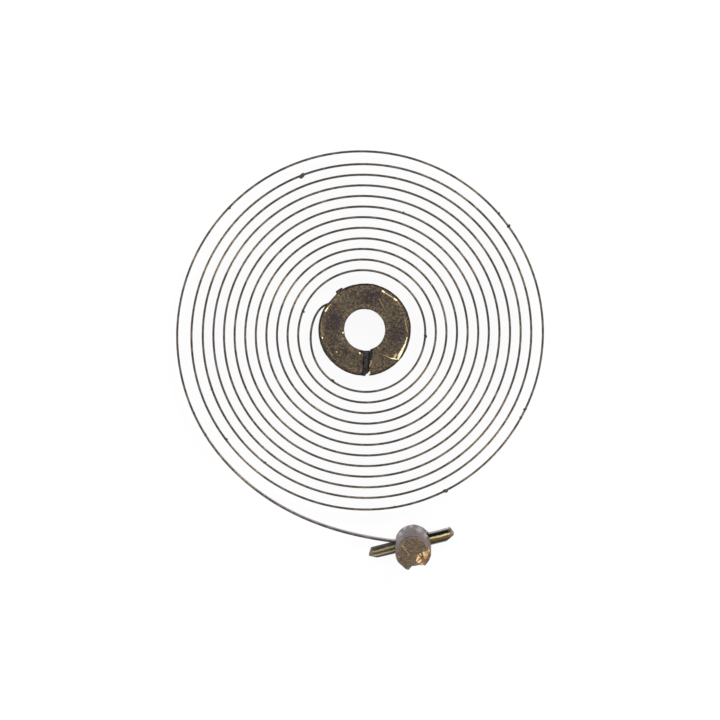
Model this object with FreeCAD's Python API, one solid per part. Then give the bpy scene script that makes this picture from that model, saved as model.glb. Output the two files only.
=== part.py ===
# Flat watch hairspring with its collet, its stud and the two pins that hold it in them.
# Frame: the origin is on the bore axis of the collet, in the plane that the collet rests on. +Z points
# up along the bore. The coil opens counter-clockwise, seen from above, and the stud is on the -Y side.
# Lengths are in millimetres and angles in degrees. A bearing is counted from +X towards +Y.
import FreeCAD, Part
import os
from math import cos, hypot, radians, sin, sqrt
from FreeCAD import Placement, Rotation, Vector

# Fit between pieces that are pressed together
FIT_GAP = 0.002

# Strip
STRIP_THICKNESS = 0.042
STRIP_HEIGHT = 0.17
STRIP_LEVEL = 0.30          # middle of the strip's height above the rest plane

# Coil: a regular spiral between two easing bends
COIL_PITCH = 0.2015
COIL_TURNS = 12.2           # from COIL_START to the bearing where the strip leaves for the stud
COIL_START = 150.0          # bearing of the collet hole's mouth
COIL_CENTRE_X = -0.0055
COIL_CENTRE_Y = -0.0765
FIRST_GAP = 0.164           # strip's middle line to the collet's rim, at COIL_START
INNER_EASE_ARC = 90.0       # the strip joins the regular spiral this far past COIL_START
FIRST_SWELL_DEPTH = 0.020   # the last two turns open a little, in two steps
FIRST_SWELL_LEAD = 440.0    # how far before the end of the coil the step begins
FIRST_SWELL_ARC = 60.0      # over what arc
LAST_SWELL_DEPTH = 0.070
LAST_SWELL_LEAD = 205.0
LAST_SWELL_ARC = 200.0
LEAN_LENGTH = 6.5           # length over which the strip turns from upright to the stud's lean

# Collet
COLLET_DIA = 1.75
COLLET_HEIGHT = 0.60
COLLET_BORE = 0.785
COLLET_TOP_ROUND = 0.07
COLLET_EDGE_BREAK = 0.02
SLOT_WIDTH = 0.13
SLOT_BEARING = 267.5
SLOT_OFFSET = 0.055         # the saw cut's middle plane misses the bore axis by this much
RIM_FLAT_BEARING = 138.0
RIM_FLAT_DEPTH = 0.022
BURR_BEARING = 123.0
BURR_WIDTH = 0.15
BURR_RISE = 0.034
BURR_HEIGHT = 0.20
COLLET_HOLE_BEARING = 20.0  # direction of the cross hole, a chord through the middle of the wall
COLLET_SEAT = 0.083         # cross hole's centre to the strip's outer face
COLLET_PIN_TAPER = 0.02     # change of diameter for each millimetre of length
COLLET_PIN_SETBACK = 0.03   # the pin and the strip's end are trimmed this far inside the rim

# Stud
STUD_DIA = 0.676
STUD_LENGTH = 1.20
STUD_EDGE_BREAK = 0.015
STUD_GAP = 0.141            # strip's middle line, where it leaves the coil, to the stud's side
STUD_LEAD = 61.2            # the stud's bearing past the one where the strip leaves
STUD_LEAN = 10.2            # the stud leans outwards by this much
STUD_LEAN_TURN = -13.3      # direction of the lean, from straight outwards
STUD_HOLE_TURN = 1.25       # direction of the cross hole, from the coil's tangent
STUD_HOLE_OFFSET = 0.050    # the cross hole lies this much nearer to the coil than the stud's axis
STUD_SEAT = 0.119           # cross hole's centre to the strip's inner face, on the coil's side
STUD_PIN_TAPER = 0.03
STUD_PIN_THIN_REACH = 0.865
STUD_PIN_THICK_REACH = 0.80
STRIP_TAIL = 0.03           # the strip's end stands out of the stud by this much
STUD_BEND = 21.3            # the strip's kink at the stud
STUD_BEND_LEG = 0.05
STUD_BEND_CLEAR = 0.03      # the kink lies this far outside the stud's side

# Marks on the stud's upper end: a groove for the clamping screw, a crushed edge and a rubbed side
GROOVE_LENGTH = 0.52        # down from the upper end
GROOVE_DEPTH = 0.123
GROOVE_BEARING = 255.5      # from the cross hole's direction
GROOVE_OPENING = 121.8
GROOVE_TURN = 20.1          # the groove's middle plane is turned by this much from its bearing
CRUSH_DEPTH = 0.20
CRUSH_SLOPE = 35.0
CRUSH_BEARING = 298.2
RUB_DEPTH = 0.02
RUB_SLOPE = 82.0
RUB_BEARING = 212.8

# Snipped ends of the stud's pin: where the tip lies across the pin, and the two cut angles
THIN_TIP_OFFSET = -0.032
THIN_TIP_ANGLES = (57.0, -32.0)
THICK_TIP_OFFSET = -0.04
THICK_TIP_ANGLES = (68.0, -30.0)

# Fineness of the curves
SPIRAL_STEP = 15.0
EASE_STEPS = 12
BEND_STEPS = 4
INNER_EASE_SHARES = (0.225, 0.55)   # reach of each end's tangent, as a share of the span
OUTER_EASE_SHARES = (0.395, 0.29)

UP = Vector(0, 0, 1)
coil_centre = Vector(COIL_CENTRE_X, COIL_CENTRE_Y, 0)
collet_radius = COLLET_DIA / 2
bore_radius = COLLET_BORE / 2
stud_radius = STUD_DIA / 2
half_thickness = STRIP_THICKNESS / 2
half_height = STRIP_HEIGHT / 2


def direction(bearing):
    return Vector(cos(radians(bearing)), sin(radians(bearing)), 0)


def smooth(share):
    share = min(max(share, 0.0), 1.0)
    return share * share * (3 - 2 * share)


def cut_beyond(shape, point, outward):
    # Takes away all of the shape that lies beyond the plane through the point.
    reach = 4 * shape.BoundBox.DiagonalLength
    block = Part.makeBox(reach, reach, reach, Vector(-reach / 2, -reach / 2, 0))
    block.Placement = Placement(point, Rotation(UP, outward))
    return shape.cut(block)


def taper_pin(start, end, radius_at, taper):
    # A pin along X. radius_at is a pair: a place along X, and the pin's radius there.
    place, radius = radius_at
    thin = radius + (start - place) * taper / 2
    thick = radius + (end - place) * taper / 2
    return Part.makeCone(thin, thick, end - start, Vector(start, 0, 0), Vector(1, 0, 0))


# Cross holes. Each has a frame of its own: X runs along the hole, Y towards the strip's seat.
collet_hole_radius = hypot(half_height, COLLET_SEAT) + FIT_GAP
collet_hole_reach = (bore_radius + collet_radius) / 2
collet_frame = Placement(
    direction(COLLET_HOLE_BEARING + 90) * collet_hole_reach + UP * STRIP_LEVEL,
    Rotation(UP, COLLET_HOLE_BEARING),
)
collet_strip_y = COLLET_SEAT - half_thickness

coil_end = COIL_START + 360 * COIL_TURNS
stud_bearing = coil_end + STUD_LEAD


def coil_radius(bearing):
    regular = collet_radius + FIRST_GAP + COIL_PITCH * (bearing - COIL_START) / 360
    first = FIRST_SWELL_DEPTH * smooth((bearing - coil_end + FIRST_SWELL_LEAD) / FIRST_SWELL_ARC)
    last = LAST_SWELL_DEPTH * smooth((bearing - coil_end + LAST_SWELL_LEAD) / LAST_SWELL_ARC)
    return regular + first + last


def coil_point(bearing):
    return coil_centre + direction(bearing) * coil_radius(bearing) + UP * STRIP_LEVEL


# The stud stands on the lowest point of its lower end, with its axis leaning.
lean_axis = UP.cross(direction(stud_bearing + STUD_LEAN_TURN))
stud_turn = Rotation(lean_axis, STUD_LEAN).multiply(Rotation(UP, stud_bearing + 90 + STUD_HOLE_TURN))
stud_foot = coil_centre + direction(stud_bearing) * (coil_radius(coil_end) + STUD_GAP + stud_radius)
stud_foot += UP * (stud_radius - STUD_EDGE_BREAK) * sin(radians(STUD_LEAN))
stud_frame = Placement(stud_foot, stud_turn)

stud_hole_radius = hypot(half_height, STUD_SEAT) + FIT_GAP
stud_strip_y = STUD_HOLE_OFFSET + STUD_SEAT - half_thickness
stud_mouth = sqrt(stud_radius ** 2 - stud_strip_y ** 2)
bend_x = -(stud_mouth + STUD_BEND_CLEAR)
# The cross hole is at the height that brings the strip in at its own level.
level_at_foot = stud_frame.multVec(Vector(bend_x, stud_strip_y, 0)).z
stud_hole_height = (STRIP_LEVEL - level_at_foot) / stud_turn.multVec(UP).z


def collet():
    top = COLLET_HEIGHT
    bevel = COLLET_EDGE_BREAK
    rounding = COLLET_TOP_ROUND
    middle = Vector(collet_radius - rounding * (1 - sqrt(0.5)), 0, top - rounding * (1 - sqrt(0.5)))
    outline = [
        Part.makePolygon([
            Vector(collet_radius - rounding, 0, top),
            Vector(bore_radius + bevel, 0, top),
            Vector(bore_radius, 0, top - bevel),
            Vector(bore_radius, 0, bevel),
            Vector(bore_radius + bevel, 0, 0),
            Vector(collet_radius - bevel, 0, 0),
            Vector(collet_radius, 0, bevel),
            Vector(collet_radius, 0, top - rounding),
        ]),
        Part.Arc(
            Vector(collet_radius, 0, top - rounding), middle, Vector(collet_radius - rounding, 0, top)
        ).toShape(),
    ]
    profile = Part.Face(Part.Wire([edge for piece in outline for edge in piece.Edges]))
    ring = profile.revolve(Vector(), UP, 360)

    flat_out = direction(RIM_FLAT_BEARING)
    ring = cut_beyond(ring, flat_out * (collet_radius - RIM_FLAT_DEPTH), flat_out)
    ring = ring.fuse(rim_burr())

    slot = Part.makeBox(2 * collet_radius, SLOT_WIDTH, 3 * top, Vector(0, SLOT_OFFSET - SLOT_WIDTH / 2, -top))
    slot.Placement = Placement(Vector(), Rotation(UP, SLOT_BEARING))
    hole = Part.makeCylinder(collet_hole_radius, 4 * collet_radius, Vector(-2 * collet_radius, 0, 0), Vector(1, 0, 0))
    hole.Placement = collet_frame
    return ring.cut([slot, hole])


def rim_burr():
    # A raised lip on the rim, highest along its outer edge and running into the wall.
    root = collet_radius - 2 * RIM_FLAT_DEPTH
    crest = collet_radius + BURR_RISE
    half = BURR_WIDTH / 2
    top = COLLET_HEIGHT - COLLET_TOP_ROUND / 2
    outline = Part.makePolygon([
        Vector(root, -half, 0), Vector(crest, -half * 0.6, 0), Vector(crest, half, 0),
        Vector(root, half * 1.2, 0), Vector(root, -half, 0),
    ])
    burr = Part.Face(outline).extrude(UP * BURR_HEIGHT)
    burr.Placement = Placement(UP * (top - BURR_HEIGHT), Rotation(UP, BURR_BEARING))
    return burr


def collet_pin():
    widest_y = collet_hole_reach + COLLET_SEAT
    half_length = sqrt(collet_radius ** 2 - widest_y ** 2) - COLLET_PIN_SETBACK
    pin = taper_pin(-half_length, half_length, (half_length, collet_hole_radius - FIT_GAP), COLLET_PIN_TAPER)
    pin = cut_beyond(pin, Vector(0, COLLET_SEAT - STRIP_THICKNESS - FIT_GAP, 0), Vector(0, 1, 0))
    pin.Placement = collet_frame
    return pin


def stud():
    post = Part.makeCylinder(stud_radius, STUD_LENGTH)
    rims = [edge for edge in post.Edges if isinstance(edge.Curve, Part.Circle)]
    post = post.makeChamfer(STUD_EDGE_BREAK, rims)

    groove_foot = direction(GROOVE_BEARING) * (stud_radius - GROOVE_DEPTH)
    sides = [direction(GROOVE_BEARING + GROOVE_TURN + turn * GROOVE_OPENING / 2) for turn in (-1, 1)]
    corners = [groove_foot + side * STUD_DIA for side in sides]
    outline = Part.makePolygon([groove_foot, corners[0], corners[1], groove_foot])
    groove = Part.Face(outline).extrude(UP * STUD_LENGTH)
    groove.translate(UP * (STUD_LENGTH - GROOVE_LENGTH))

    hole = Part.makeCylinder(
        stud_hole_radius, 2 * STUD_DIA, Vector(-STUD_DIA, STUD_HOLE_OFFSET, stud_hole_height), Vector(1, 0, 0)
    )
    post = post.cut([groove, hole])
    for bearing, depth, slope in (
        (CRUSH_BEARING, CRUSH_DEPTH, CRUSH_SLOPE),
        (RUB_BEARING, RUB_DEPTH, RUB_SLOPE),
    ):
        outward = direction(bearing) * sin(radians(slope)) + UP * cos(radians(slope))
        edge = direction(bearing) * (stud_radius - depth) + UP * STUD_LENGTH
        post = cut_beyond(post, edge, outward)
    post.Placement = stud_frame
    return post


def stud_pin():
    pin = taper_pin(
        -STUD_PIN_THIN_REACH, STUD_PIN_THICK_REACH, (stud_mouth, stud_hole_radius - FIT_GAP), STUD_PIN_TAPER
    )
    pin = cut_beyond(pin, Vector(0, STUD_SEAT - STRIP_THICKNESS - FIT_GAP, 0), Vector(0, 1, 0))
    for side, reach, offset, angles in (
        (-1, STUD_PIN_THIN_REACH, THIN_TIP_OFFSET, THIN_TIP_ANGLES),
        (1, STUD_PIN_THICK_REACH, THICK_TIP_OFFSET, THICK_TIP_ANGLES),
    ):
        tip = Vector(side * reach, offset, 0)
        for angle in angles:
            across = 1 if angle > 0 else -1
            outward = Vector(side * sin(radians(abs(angle))), across * cos(radians(angle)), 0)
            pin = cut_beyond(pin, tip, outward)
    pin.Placement = stud_frame.multiply(Placement(Vector(0, STUD_HOLE_OFFSET, stud_hole_height), Rotation()))
    return pin


def ease(start, start_way, end, end_way, shares):
    span = (end - start).Length
    curve = Part.BezierCurve()
    curve.setPoles([start, start + start_way * span * shares[0], end - end_way * span * shares[1], end])
    return [curve.value(k / EASE_STEPS) for k in range(EASE_STEPS + 1)]


def coil_way(bearing):
    return (coil_point(bearing + 0.5) - coil_point(bearing - 0.5)).normalize()


def free_line():
    # Middle line of the strip from the mouth of the collet's hole to the stud's side.
    mouth_x = -sqrt(collet_radius ** 2 - (collet_hole_reach + collet_strip_y) ** 2)
    mouth = collet_frame.multVec(Vector(mouth_x, collet_strip_y, 0))
    way_out = -direction(COLLET_HOLE_BEARING)
    join = COIL_START + INNER_EASE_ARC
    points = ease(mouth, way_out, coil_point(join), coil_way(join), INNER_EASE_SHARES)

    steps = round((coil_end - join) / SPIRAL_STEP)
    points += [coil_point(join + (coil_end - join) * k / steps) for k in range(1, steps + 1)]

    corner = stud_frame.multVec(Vector(bend_x, stud_strip_y, stud_hole_height))
    way_in = stud_turn.multVec(Vector(1, 0, 0))
    arrival = Rotation(UP, -STUD_BEND).multVec(Vector(way_in.x, way_in.y, 0).normalize())
    bend_start = corner - arrival * STUD_BEND_LEG
    points += ease(coil_point(coil_end), coil_way(coil_end), bend_start, arrival, OUTER_EASE_SHARES)[1:]

    bend = Part.BezierCurve()
    bend.setPoles([bend_start, corner, corner + way_in * STUD_BEND_LEG])
    points += [bend.value(k / BEND_STEPS) for k in range(1, BEND_STEPS + 1)]
    return points, way_out, way_in


def through(points, marks, first_way, last_way):
    # The marks are lengths along the line, so that the unit vectors at its ends are kept as they are.
    curve = Part.BSplineCurve()
    curve.interpolate(
        Points=points, Parameters=marks, InitialTangent=first_way, FinalTangent=last_way, Scale=False
    )
    return curve


def section_corners(point, way, height_way):
    # The strip's four corners round a point of its middle line.
    side = height_way.cross(way).normalize()
    rise = way.cross(side)
    return [
        point + side * half_thickness * across + rise * half_height * along
        for across, along in ((1, -1), (1, 1), (-1, 1), (-1, -1))
    ]


def hairspring():
    points, way_out, way_in = free_line()
    marks = [0.0]
    for before, after in zip(points, points[1:]):
        marks.append(marks[-1] + (after - before).Length)
    middle = through(points, marks, way_out, way_in)

    stud_up = stud_turn.multVec(UP)
    rails = [[], [], [], []]
    for point, mark in zip(points, marks):
        lean = smooth(1 - (marks[-1] - mark) / LEAN_LENGTH)
        height_way = UP * (1 - lean) + stud_up * lean
        for rail, corner in zip(rails, section_corners(point, middle.tangent(mark)[0], height_way)):
            rail.append(corner)
    curves = [through(rail, marks, way_out, way_in) for rail in rails]

    # The free part is split into spans of about one turn, and a straight run is added at each end.
    turn_stations = round(360 / SPIRAL_STEP)
    breaks = marks[::turn_stations]
    if breaks[-1] != marks[-1]:
        breaks.append(marks[-1])
    spans = [[curve.toShape(a, b) for curve in curves] for a, b in zip(breaks, breaks[1:])]

    end_x = sqrt(collet_radius ** 2 - (collet_hole_reach + COLLET_SEAT) ** 2) - COLLET_PIN_SETBACK
    inner_end = collet_frame.multVec(Vector(end_x, collet_strip_y, 0))
    outer_end = stud_frame.multVec(Vector(stud_mouth + STRIP_TAIL, stud_strip_y, stud_hole_height))
    inner_corners = section_corners(inner_end, way_out, UP)
    outer_corners = section_corners(outer_end, way_in, stud_up)
    spans.insert(0, [Part.makeLine(a, rail[0]) for a, rail in zip(inner_corners, rails)])
    spans.append([Part.makeLine(rail[-1], b) for b, rail in zip(outer_corners, rails)])

    faces = [Part.Face(Part.makePolygon(ends + ends[:1])) for ends in (inner_corners, outer_corners)]
    for edges in spans:
        faces += [Part.makeRuledSurface(edges[k], edges[(k + 1) % 4]) for k in range(4)]
    shell = Part.makeShell(faces)
    shell.sewShape()
    strip = Part.makeSolid(shell)
    if strip.Volume < 0:
        strip.reverse()
    return strip


os.makedirs("parts", exist_ok=True)
for node, build in (
    ("hairspring", hairspring),
    ("collet", collet),
    ("collet_pin", collet_pin),
    ("stud", stud),
    ("stud_pin", stud_pin),
):
    solid = build()
    solid.exportStep("parts/" + node + ".step")
    print(node, "volume", round(solid.Volume, 5), "solids", len(solid.Solids), "valid", solid.isValid())
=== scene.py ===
from functools import reduce
from math import cos, hypot, pi, radians, sin, sqrt, tan

import bpy
from mathutils import Matrix, Vector


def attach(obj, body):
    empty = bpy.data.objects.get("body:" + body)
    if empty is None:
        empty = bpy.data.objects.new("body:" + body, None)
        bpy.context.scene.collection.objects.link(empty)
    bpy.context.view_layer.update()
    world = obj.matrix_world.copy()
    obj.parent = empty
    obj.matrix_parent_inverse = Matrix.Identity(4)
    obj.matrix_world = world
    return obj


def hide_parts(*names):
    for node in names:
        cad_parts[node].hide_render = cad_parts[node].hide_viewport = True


# A flat watch hairspring with its collet, its stud and their two pins, seen from straight above.
# Pieces are shaped with one unit to the millimetre and brought down to metres as the last step.
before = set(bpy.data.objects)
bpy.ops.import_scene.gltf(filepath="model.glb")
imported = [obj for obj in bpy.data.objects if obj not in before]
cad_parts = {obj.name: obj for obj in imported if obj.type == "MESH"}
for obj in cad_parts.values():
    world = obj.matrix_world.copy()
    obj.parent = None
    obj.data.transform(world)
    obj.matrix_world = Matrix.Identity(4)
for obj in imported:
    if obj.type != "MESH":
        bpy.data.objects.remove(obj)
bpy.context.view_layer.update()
mm = 0.001
up = Vector((0, 0, 1))
print("frame loaded:", sorted(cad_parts))


def heading(bearing):
    return Vector((cos(radians(bearing)), sin(radians(bearing)), 0))


def smooth(share):
    share = min(max(share, 0), 1)
    return share * share * (3 - 2 * share)


# Where the pieces meet: the coil's line, the collet's hole and the stud's own frame
coil = {
    "centre": Vector((-0.0055, -0.0765, 0)),
    "firstBearing": 150,       # where the strip leaves the collet
    "turns": 12.2,
    "pitch": 0.2015,
    "firstGap": 0.164,         # strip's middle line to the collet's rim
    "innerArc": 90,            # the easing bend at the collet
    "swells": ((0.020, 440, 60), (0.070, 205, 200)),   # rise, how far before the end, arc
    "level": 0.30,             # middle of the strip over the floor
    "innerReach": (0.225, 0.55),       # how far the easing bend's two handles reach
    "outerReach": (0.395, 0.29),
}

strip = {
    "thickness": 0.042,
    "height": 0.17,
    "cornerRound": 0.013,
    "cornerSteps": 4,
    "stationArc": 2.5,         # degrees of coil between two sections
    "easeSteps": 60,
    "bendSteps": 8,
    "leanLength": 6.5,         # it twists over to the stud's lean along this
    "tail": 0.03,              # stands out behind the stud
}

collet = {
    "radius": 0.875,
    "height": 0.60,
    "bore": 0.3925,
    "topRound": 0.07,
    "edgeBreak": 0.02,
    "segments": 288,
    "cuts": 20,
    "uneven": ((0.50, 0.014), (0.14, 0.018), (0.05, 0.010)),    # grain of the surface, how far it rises
    "slotWidth": 0.13,
    "slotBearing": 267.5,
    "slotOffset": 0.055,
    "flatBearing": 138,
    "flatDepth": 0.022,
    "burrBearing": 123,
    "burrWidth": 0.15,
    "burrRise": 0.034,
    "burrHeight": 0.20,
    "holeBearing": 20,
    "seat": 0.083,             # hole's axis to the strip's outer face
    "pinTaper": 0.02,
    "pinSetback": 0.03,        # pin's ends inside the rim
}

stud = {
    "radius": 0.338,
    "length": 1.20,
    "topRound": 0.055,
    "edgeBreak": 0.015,
    "segments": 128,
    "cuts": 24,
    "uneven": ((0.30, 0.012), (0.07, 0.010)),
    "jawCuts": 44,
    "jawUneven": ((0.16, 0.06), (0.045, 0.03)),
    "gap": 0.141,              # coil's last radius to the stud's wall
    "lead": 61.2,              # from the coil's end round to the stud
    "lean": 10.2,
    "leanTurn": -13.3,         # off straight outward
    "holeTurn": 1.25,
    "holeOffset": 0.050,
    "seat": 0.119,
    "bend": 21.3,              # the strip's kink in front of the hole
    "bendLeg": 0.05,
    "bendClear": 0.03,
    "grooveLength": 0.52,
    "grooveDepth": 0.123,
    "grooveBearing": 255.5,
    "grooveOpening": 121.8,
    "grooveTurn": 20.1,
    "crushDepth": 0.20,
    "crushSlope": 35,
    "crushBearing": 298.2,
    "rubDepth": 0.02,
    "rubSlope": 82,
    "rubBearing": 212.8,
}

fitGap = 0.002
halfThickness = strip["thickness"] / 2
halfHeight = strip["height"] / 2
coilEnd = coil["firstBearing"] + 360 * coil["turns"]


def coilRadius(bearing):
    radius = collet["radius"] + coil["firstGap"] + coil["pitch"] * (bearing - coil["firstBearing"]) / 360
    for rise, lead, arc in coil["swells"]:
        radius += rise * smooth((bearing - coilEnd + lead) / arc)
    return radius


def coilPoint(bearing):
    return coil["centre"] + heading(bearing) * coilRadius(bearing) + up * coil["level"]


def coilWay(bearing):
    return (coilPoint(bearing + 0.5) - coilPoint(bearing - 0.5)).normalized()


colletHoleRadius = hypot(halfHeight, collet["seat"]) + fitGap
colletHoleReach = (collet["bore"] + collet["radius"]) / 2
colletHoleAt = heading(collet["holeBearing"] + 90) * colletHoleReach + up * coil["level"]
colletFrame = Matrix.Translation(colletHoleAt) @ Matrix.Rotation(radians(collet["holeBearing"]), 4, "Z")

studBearing = coilEnd + stud["lead"]
leanAxis = up.cross(heading(studBearing + stud["leanTurn"]))
holeHeading = Matrix.Rotation(radians(studBearing + 90 + stud["holeTurn"]), 4, "Z")
studTurn = Matrix.Rotation(radians(stud["lean"]), 4, leanAxis) @ holeHeading
studFoot = coil["centre"] + heading(studBearing) * (coilRadius(coilEnd) + stud["gap"] + stud["radius"])
studFoot += up * (stud["radius"] - stud["edgeBreak"]) * sin(radians(stud["lean"]))
studFrame = Matrix.Translation(studFoot) @ studTurn
studUp = studTurn @ up
studHoleRadius = hypot(halfHeight, stud["seat"]) + fitGap
studStripY = stud["holeOffset"] + stud["seat"] - halfThickness
studMouth = sqrt(stud["radius"] ** 2 - studStripY ** 2)
studBendX = -(studMouth + stud["bendClear"])
studHoleHeight = (coil["level"] - (studFrame @ Vector((studBendX, studStripY, 0))).z) / studUp.z


# Working in the viewport's way: one object at a time, edited through its own selection
touching = 1e-5     # points closer than this are one


def startFresh():
    if bpy.context.object and bpy.context.object.mode != "OBJECT":
        bpy.ops.object.mode_set(mode="OBJECT")
    bpy.ops.object.select_all(action="DESELECT")


def pick(piece, *others):
    startFresh()
    for one in (piece, *others):
        one.select_set(True)
    bpy.context.view_layer.objects.active = piece


def fixTransform(piece):
    pick(piece)
    bpy.ops.object.transform_apply(location=True, rotation=True, scale=True)


def clearPicks(piece, kind):
    # nothing selected in the mesh, and out of edit mode, where single points and edges can be set
    pick(piece)
    bpy.ops.object.mode_set(mode="EDIT")
    bpy.ops.mesh.select_mode(type=kind)
    bpy.ops.mesh.select_all(action="DESELECT")
    bpy.ops.object.mode_set(mode="OBJECT")


def pickEdges(piece, wanted):
    # edit mode with only those edges selected whose two ends pass the test
    clearPicks(piece, "EDGE")
    points = piece.data.vertices
    for edge in piece.data.edges:
        edge.select = wanted(*(points[k].co for k in edge.vertices))
    bpy.ops.object.mode_set(mode="EDIT")


def pickPoints(piece, wanted):
    clearPicks(piece, "VERT")
    for point in piece.data.vertices:
        point.select = wanted(point.co)
    bpy.ops.object.mode_set(mode="EDIT")


def applyAll(piece):
    pick(piece)
    for modifier in list(piece.modifiers):
        bpy.ops.object.modifier_apply(modifier=modifier.name)


def softenEdges(piece, width, steps, angle=35):
    bevel = piece.modifiers.new("edges", "BEVEL")
    bevel.width = width
    bevel.segments = steps
    bevel.limit_method = "ANGLE"
    bevel.angle_limit = radians(angle)
    bevel.use_clamp_overlap = True
    applyAll(piece)


def unsettle(piece, grain, rise):
    # small unevenness of a handled surface: the grain's size and how far it rises
    texture = bpy.data.textures.new("unevenness", "CLOUDS")
    texture.noise_scale = grain
    shift = piece.modifiers.new("unevenness", "DISPLACE")
    shift.texture = texture
    shift.texture_coords = "LOCAL"
    shift.strength = rise
    applyAll(piece)


def carve(piece, tool, operation="DIFFERENCE"):
    cut = piece.modifiers.new("carve", "BOOLEAN")
    cut.operation = operation
    cut.solver = "EXACT"
    cut.material_mode = "TRANSFER"
    cut.object = tool
    applyAll(piece)
    pick(tool)
    bpy.ops.object.delete()


def makeBlock(centre, size, axis=up):
    # a cutting block whose own Z looks along the axis
    startFresh()
    bpy.ops.mesh.primitive_cube_add(size=1)
    block = bpy.context.object
    block.scale = size
    fixTransform(block)
    block.matrix_world = Matrix.Translation(centre) @ axis.to_track_quat("Z", "Y").to_matrix().to_4x4()
    fixTransform(block)
    return block


def makeDrill(radius, length, holeFrame):
    # a round bar along X of the hole's own frame
    startFresh()
    bpy.ops.mesh.primitive_cylinder_add(vertices=64, radius=radius, depth=length)
    drill = bpy.context.object
    drill.matrix_world = holeFrame @ Matrix.Rotation(pi / 2, 4, "Y")
    fixTransform(drill)
    return drill


def leaning(bearing, slope):
    # straight up, tipped towards a bearing
    return heading(bearing) * sin(radians(slope)) + up * cos(radians(slope))


def planeOff(piece, point, outward, size=4):
    # takes off all of the piece beyond a plane
    carve(piece, makeBlock(point + outward * size / 2, (size, size, size), outward))


def turnBody(inner, outer, height, corners, cuts, segments):
    # turned on the lathe: a rectangle with rounded corners, spun about the middle
    middle = (inner + outer) / 2
    startFresh()
    bpy.ops.mesh.primitive_plane_add(size=1, location=(middle, 0, height / 2), rotation=(pi / 2, 0, 0))
    piece = bpy.context.object
    piece.scale = (outer - inner, height, 1)
    fixTransform(piece)
    for outside, top, width, steps in corners:
        pickPoints(piece, lambda co: (co.x > middle) == outside and (co.z > height / 2) == top)
        bpy.ops.mesh.bevel(offset=width, segments=steps, affect="VERTICES")
    bpy.ops.mesh.select_all(action="SELECT")
    bpy.ops.mesh.delete(type="ONLY_FACE")
    pickEdges(piece, lambda start, end: max(start.x, end.x) < touching)      # no wall on the axis itself
    bpy.ops.mesh.delete(type="EDGE")
    longest = 3 * max(width for outside, top, width, steps in corners)
    pickEdges(piece, lambda start, end: (end - start).length > longest)
    bpy.ops.mesh.subdivide(number_cuts=cuts)
    bpy.ops.mesh.select_all(action="SELECT")
    bpy.ops.mesh.spin(steps=segments, angle=2 * pi, center=(0, 0, 0), axis=(0, 0, 1))
    bpy.ops.mesh.select_all(action="SELECT")
    bpy.ops.mesh.remove_doubles(threshold=touching)
    bpy.ops.mesh.normals_make_consistent(inside=False)
    bpy.ops.object.mode_set(mode="OBJECT")
    return piece


def handOver(piece, name, slot, node, *looks, angle=32):
    # names the piece, brings it down to metres and hangs it on the frame
    piece.name = name
    piece.data.name = name
    piece.scale = (mm, mm, mm)
    fixTransform(piece)
    bpy.ops.object.shade_smooth_by_angle(angle=radians(angle))
    kept = [face.material_index for face in piece.data.polygons]
    piece.data.materials.clear()
    for look in looks:
        piece.data.materials.append(look)
    for face, index in zip(piece.data.polygons, kept):
        face.material_index = min(index, len(looks) - 1)
    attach(piece, "root")
    if node:
        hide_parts(node)
    print("made", name, len(piece.data.polygons), "faces")


def paint(red, green, blue):
    # a colour as read off a screen, 0 to 255
    levels = (red / 255, green / 255, blue / 255)
    return (*(v / 12.92 if v <= 0.04045 else ((v + 0.055) / 1.055) ** 2.4 for v in levels), 1)


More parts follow.
